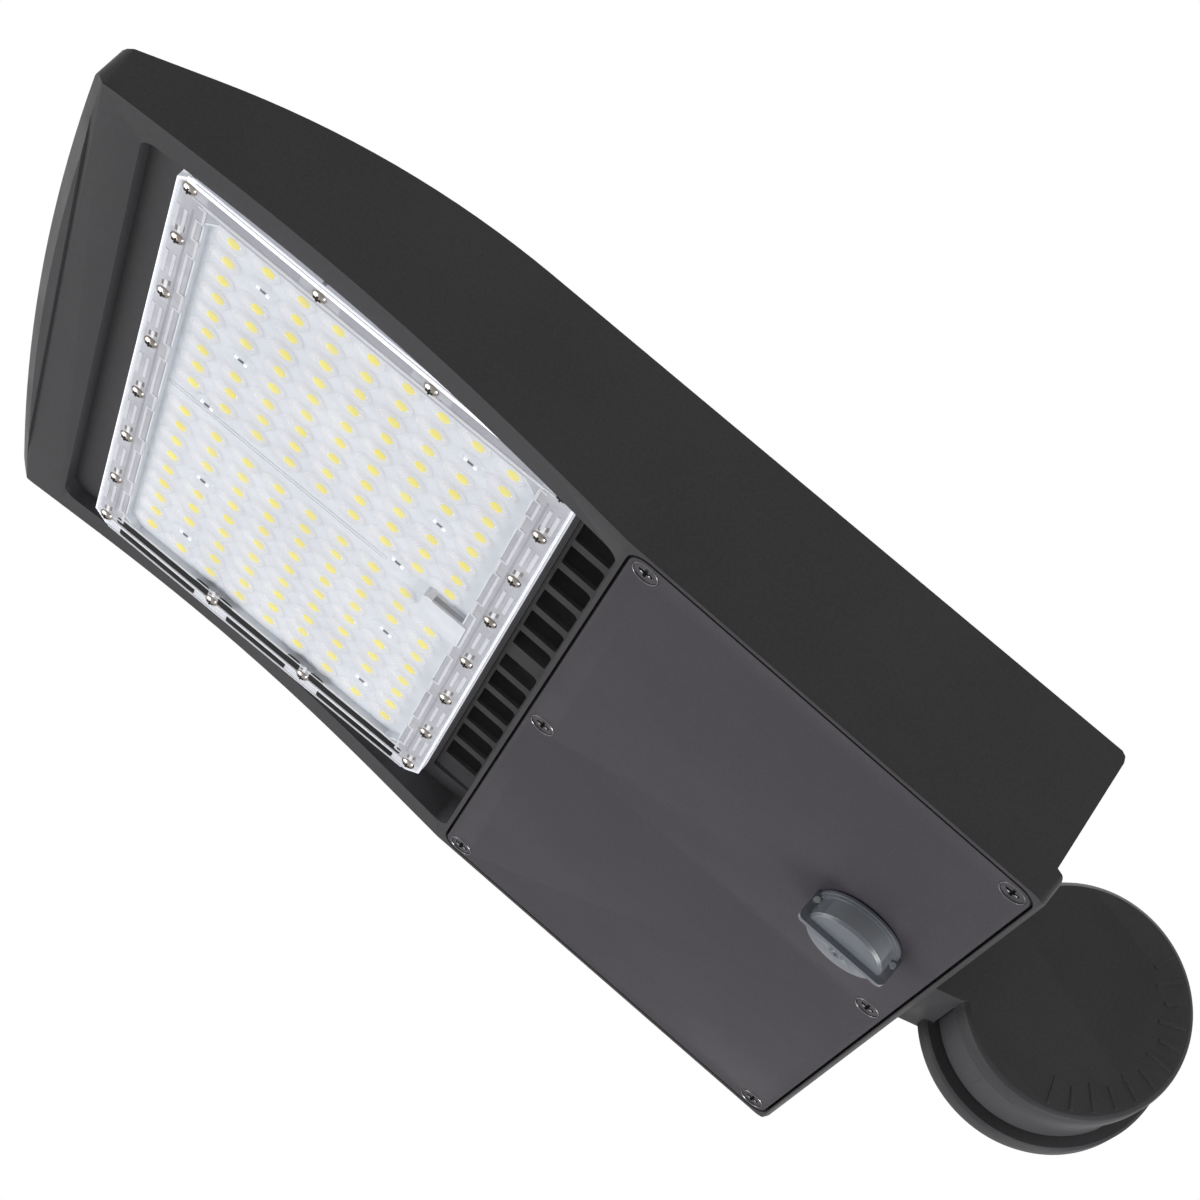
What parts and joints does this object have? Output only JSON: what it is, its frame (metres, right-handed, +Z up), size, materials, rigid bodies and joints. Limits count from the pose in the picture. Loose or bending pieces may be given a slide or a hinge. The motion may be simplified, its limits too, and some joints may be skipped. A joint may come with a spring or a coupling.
{
  "type": "shoebox area light",
  "caption": "Flat cast area light with a sloping nose, an LED lens panel, a vent grille, a screwed driver door and a twist-lock sensor cap, on a tilting knuckle mount.",
  "frame": {"origin": "centre of the hub's mounting pad, where the pole adaptor bolts on", "axes": "+Z up, -Y from the mount towards the nose of the light, +X along the pivot towards the side with the scale"},
  "size_m": [0.33, 0.5222, 0.1141],
  "materials": {
    "hub_paint": "satin dark grey powder coat",
    "housing_paint": "fine textured dark bronze-grey powder coat",
    "door_paint": "fine textured dark grey powder coat",
    "zinc_steel": "zinc plated steel",
    "stainless": "plain stainless steel",
    "dark_screw": "dark coated stainless steel",
    "rivet_alloy": "plain aluminium rivets",
    "friction_lining": "matt friction lining",
    "black_rubber": "black EPDM rubber",
    "silicone": "white silicone rubber",
    "board_white": "white solder mask on a metal-core board",
    "led_phosphor": "yellow phosphor in a white package",
    "lens_clear": "moulded clear polycarbonate, frosted field",
    "cover_clear": "moulded clear polycarbonate",
    "connector_white": "white nylon connector",
    "driver_case": "plain aluminium case",
    "terminal_plastic": "off-white terminal plastic",
    "surge_plastic": "dark blue plastic case",
    "ground_green": "green ground screw",
    "lead_red": "red insulated lead",
    "lead_blue": "blue insulated lead",
    "lead_black": "black insulated lead",
    "socket_plastic": "dark grey plastic",
    "cap_plastic": "mid grey plastic"
  },
  "bodies": {
    "hub": {"pivot_hub": "hub_paint"},
    "fixture": {"housing": "housing_paint", "tilt_bracket": "housing_paint", "bracket_bolts": "zinc_steel", "pivot_bolt": "zinc_steel", "pivot_washer": "zinc_steel", "friction_discs": "friction_lining", "wire_grommet": "black_rubber", "led_board_left": "board_white", "led_board_right": "board_white", "led_chips": "led_phosphor", "lens_panel": "lens_clear", "lens_gasket": "silicone", "lens_screws": "stainless", "board_rivets": "rivet_alloy", "board_connector": "connector_white", "connector_cover": "cover_clear", "driver_door": "door_paint", "door_gasket": "black_rubber", "door_screws": "dark_screw", "led_driver": "driver_case", "driver_screws": "zinc_steel", "terminal_block": "terminal_plastic", "terminal_screws": "zinc_steel", "surge_protector": "surge_plastic", "ground_screw": "ground_green", "bulkhead_grommet": "black_rubber", "led_leads": "lead_red", "sensor_leads": "lead_blue", "input_leads": "lead_black", "sensor_socket": "socket_plastic", "socket_nut": "zinc_steel"},
    "cap": {"sensor_cap": "cap_plastic", "cap_screws": "stainless", "cap_boss_screw": "stainless", "cap_seal": "black_rubber"}
  },
  "joints": [
    {"name": "tilt", "type": "hinge", "parent": "hub", "child": "fixture", "pos_m": [0, -0.0395, 0], "axis": [1, 0, 0], "range_deg": [-66, 66]},
    {"name": "cap_twist", "type": "hinge", "parent": "fixture", "child": "cap", "pos_m": [0.053, -0.123, -0.0502], "axis": [0, 0, -1], "range_deg": [0, 30]}
  ]
}
